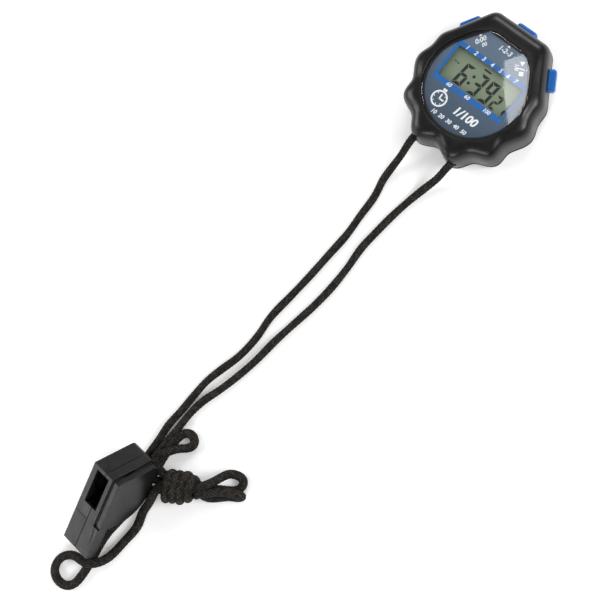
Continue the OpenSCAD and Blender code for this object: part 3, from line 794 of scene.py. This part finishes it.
border = solid("window_border", [ring_slab(moved(bar(39.3, 21.0, 1.1, 6), -0.25, 3.3),
                                           moved(bar(37.1, 16.3, 0.5, 6), 0.2, 3.5), Z_BORDER)],
               BLUE)
DAYS_X = (-14.7, -9.8, -5.2, -0.3, 4.6, 8.9, 13.1)
marks = [numerals(str(k + 1), 2.9, (x, 12.8)) for k, x in enumerate(DAYS_X)]
marks += [numerals(s, 2.6, (x, -5.9)) for s, x in (("60", -10.8), ("60", -0.3), ("100", 11.1))]
marks += button_marks() + dial_mark()
marks += [numerals("1/100", 5.6, (4.6, -13.6), bold=0.035)]
marks += [numerals(str(10 * k), 2.7, (4.3 * k - 13.1, -19.7), bold=0.03) for k in range(1, 6)]
prints = solid("face_print", marks, WHITE)
for ob in (border, prints):
    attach(ob, "root")

# ---------------------------------------------------------------- display
INK_THICK = 0.02
SEGMENTS = {"1": "bc", "2": "abged", "3": "abgcd", "6": "afgedc", "9": "gfabcd"}


def ink_slab(outline):
    return slab(outline, Z_LCD, INK_THICK)


def digit(ch, x0, y0, wide, high, bold):
    """One seven-segment figure, leaning to the right."""
    gap, mid, slant = 0.16, high / 2, 0.11
    over, under = mid + bold / 2, mid - bold / 2
    right, shy, top = wide - bold, wide - gap, high - gap
    shapes = {"a": [(gap, high), (shy, high), (shy - bold, high - bold), (gap + bold, high - bold)],
              "b": [(wide, top), (wide, mid + gap), (right, over + gap), (right, top - bold)],
              "c": [(wide, mid - gap), (wide, gap), (right, bold + gap), (right, under - gap)],
              "d": [(gap + bold, bold), (shy - bold, bold), (shy, 0), (gap, 0)],
              "e": [(0, mid - gap), (bold, under - gap), (bold, bold + gap), (0, gap)],
              "f": [(0, top), (bold, top - bold), (bold, over + gap), (0, mid + gap)],
              "g": [(gap * 2, mid), (bold, over), (right, over), (shy - gap, mid), (right, under),
                    (bold, under)]}
    return [ink_slab([(x0 + a + slant * b, y0 + b) for a, b in shapes[s]]) for s in SEGMENTS[ch]]


ink = []
for ch, x0, wide in (("6", -11.7, 4.9), ("3", -3.3, 4.8), ("9", 3.0, 4.9)):
    ink += digit(ch, x0, -3.7, wide, 11.2, 1.5)
ink += digit("2", 9.3, -3.7, 3.6, 7.4, 1.15) + digit("1", 13.7, -3.6, 3.6, 7.2, 1.15)
dots = [(disc(0.78, 20), -4.2, 3.9), (disc(0.78, 20), -4.6, 0.1), (disc(0.42, 16), -14.3, 4.9)]
dashes = [(rect(3.9, 0.85), -0.5, 9.5), (rect(1.1, 0.5), -15.9, 5.1)]
ink += [ink_slab(moved(o, x, y)) for o, x, y in dots + dashes]
figures = solid("display_figures", ink, INK)
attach(figures, "root")

# ---------------------------------------------------------------- buttons
CAP_L, CAP_H, CAP_CORNER = 10.6, 5.2, 1.4
STEM = [(-8.9, 1.35), (-8.75, 1.5), (-8.12, 1.5), (-8.1, 1.2), (-7.6, 1.2), (-7.58, 1.5), (-3.7, 1.5)]


def button_cap(proud, place):
    """A cap with a step round its top, then a raised middle; proud is how far it stands out."""
    edge = [(-1.0, 0.0), (-0.74, 0.05), (-0.6, 0.16), (-0.54, 0.34), (-0.54, 0.5), (-0.5, 0.56),
            (-0.24, 0.58), (-0.1, 0.66), (-0.02, 0.84), (0, 1.1)]
    sections = [(-3.9, 0.0)] + [(proud + x, s) for x, s in edge]
    outlines = [(x, bar(CAP_L - 2 * s, CAP_H - 2 * s, max(0.3, CAP_CORNER - s))) for x, s in sections]
    return stack(outlines, place)


for key, (place, proud) in PLACES.items():
    parts = [button_cap(proud, place), lathe(STEM, place)]
    cap_ob = solid(key + "_cap", parts, M["button_blue"], 50)
    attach(cap_ob, key + "_key")
    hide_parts(key + "_button")

# ---------------------------------------------------------------- whistle
# Its own frame: X from the mouthpiece to the rear, Z out of the top plate.
WHISTLE_AT = Vector((-18.4, -283.1, 10.2))
WHISTLE_TURN = Euler([math.radians(a) for a in (-15, -26, 95)]).to_matrix()
PLATE_STEP, WHISTLE_L, REAR_L, REAR_LEAN, MOUTH_T = 17, 44, 21, math.radians(20), 5.8


def on_whistle(p):
    return tuple(WHISTLE_TURN @ Vector(p) + WHISTLE_AT)


def on_side(p):
    """For a section drawn as (length, height) at a place across the whistle."""
    return on_whistle((p[1], p[0], p[2]))


def on_rear(p):
    """The rear face, which leans back."""
    c, s = math.cos(REAR_LEAN), math.sin(REAR_LEAN)
    return on_whistle((WHISTLE_L + s * p[0] + c * p[2], p[1], -c * p[0] + s * p[2]))


def groove(along, across, deep, place=on_whistle):
    """A thin box, given by its spans of length, width and height."""
    o = [(across[0], deep[0]), (across[1], deep[0]), (across[1], deep[1]), (across[0], deep[1])]
    return stack([(along[0], o), (along[1], o)], place)


def arc_points(x, z, r, a0, a1, n):
    turns = [math.radians(a0 + (a1 - a0) * i / n) for i in range(n + 1)]
    return [(x + r * math.cos(a), z + r * math.sin(a)) for a in turns]


def whistle_side(inset):
    """Side outline as (length, height), shrunk along the top and the rear."""
    rear_x = WHISTLE_L + REAR_L * math.sin(REAR_LEAN) - 2.6 - inset
    return ([(0, 0), (PLATE_STEP, 0), (PLATE_STEP, -inset), (WHISTLE_L - inset, -inset)]
            + arc_points(rear_x, -REAR_L * math.cos(REAR_LEAN) - 1, 3 - inset / 2, 10, -90, 6)
            + arc_points(35.5, -5.4, 19, -90, -178, 16) + [(0, -MOUTH_T)])


# The parting line runs down the plate and the rear, and a fine step crosses the plate.
GROOVES = [groove((-1, 43.6), (-0.2, 0.2), (-0.55, 1)),
           groove((-1, 19.5), (-0.16, 0.16), (-0.45, 1), on_rear),
           groove((PLATE_STEP - 0.15, PLATE_STEP + 0.15), (-6.25, 9), (-0.3, 1))]


def whistle_half(name, source):
    """The CAD half with broken edges and its moulded lines."""
    ob = bpy.data.objects.new(name, frame["nodes"][source].data.copy())
    ob.data.name = name
    scene.collection.objects.link(ob)
    ob.data.materials.clear()
    ob.data.materials.append(M["whistle_plastic"])
    tidy(ob, 30, merge=0.002, dissolve=1.0)
    if name == "whistle_right":
        floor_of_groove = whistle_side(1.15)
        filler = stack([(-6.3, floor_of_groove), (-4.9, floor_of_groove)], on_side)
        cut(ob, solid("filler", [filler], M["whistle_plastic"]), "UNION")
    mod = ob.modifiers.new("soft", "BEVEL")
    mod.width, mod.segments, mod.limit_method, mod.angle_limit = 0.14 * MM, 1, "ANGLE", math.radians(34)
    mod.use_clamp_overlap = False
    apply_modifiers(ob)
    for g in GROOVES:
        cut(ob, solid("line", [g], M["whistle_plastic"]))
    tidy(ob, 30)
    mod = ob.modifiers.new("weighted", "WEIGHTED_NORMAL")
    mod.keep_sharp, mod.weight = True, 90
    apply_modifiers(ob)
    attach(ob, "root")
    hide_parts(source)
    return ob


whistle = [whistle_half("whistle_" + side, "whistle_" + side + "_half") for side in ("left", "right")]

# ---------------------------------------------------------------- frame materials
for s in frame["record"]["subparts"]:
    ob = frame["nodes"][s["node"]]
    ob.data.materials.clear()
    ob.data.materials.append(M[s["material_slot"]])

# ---------------------------------------------------------------- stage
FLOOR = 4
paper, t, b = material("floor")
b.inputs["Base Color"].default_value = (0.9, 0.9, 0.9, 1)
b.inputs["Roughness"].default_value = 0.9
b.inputs["Emission Color"].default_value = (1, 1, 1, 1)
b.inputs["Emission Strength"].default_value = 0.2
floor_corners = [(x, y, 0) for x, y in rect(2 * FLOOR, 2 * FLOOR)]
floor = mesh_object("floor", floor_corners, [(0, 1, 2, 3)], paper, smooth=False)


# Lights are placed in metres.
def area(name, at, to, size, power):
    d = bpy.data.lights.new(name, "AREA")
    d.shape, d.size, d.size_y, d.energy = "RECTANGLE", size[0], size[1], power
    o = bpy.data.objects.new(name, d)
    o.location = at
    o.rotation_mode = "QUATERNION"
    o.rotation_quaternion = (Vector(to) - Vector(at)).to_track_quat("-Z", "Y")
    scene.collection.objects.link(o)
    return o


MIDDLE = (0, -0.12, 0)
area("key", (1.15, 0.55, 1.1), MIDDLE, (0.7, 0.7), 19.0)
area("fill", (-1.35, -0.75, 0.95), MIDDLE, (0.9, 0.9), 16.8)
area("rim", (-0.5, 1.35, 1.0), MIDDLE, (0.9, 0.6), 12.3)
area("graze", (-0.56, -0.97, 0.22), (-0.018, -0.26, 0.02), (0.45, 0.3), 1.6)
area("front", (0.55, -1.5, 0.9), MIDDLE, (0.9, 0.6), 12.3)
# a small window over the watch, which the lens mirrors on its right side
pane = area("pane", (-0.144, 0.139, 0.8), (-0.144, 0.139, 0), (0.08, 0.16), 0.27)
pane.rotation_quaternion = Matrix.Rotation(math.radians(45), 3, "Z").to_quaternion()
world = bpy.data.worlds.new("world")
scene.world = world
world.use_nodes = True
world.node_tree.nodes["Background"].inputs["Color"].default_value = (1, 1, 1, 1)
world.node_tree.nodes["Background"].inputs["Strength"].default_value = 0.22
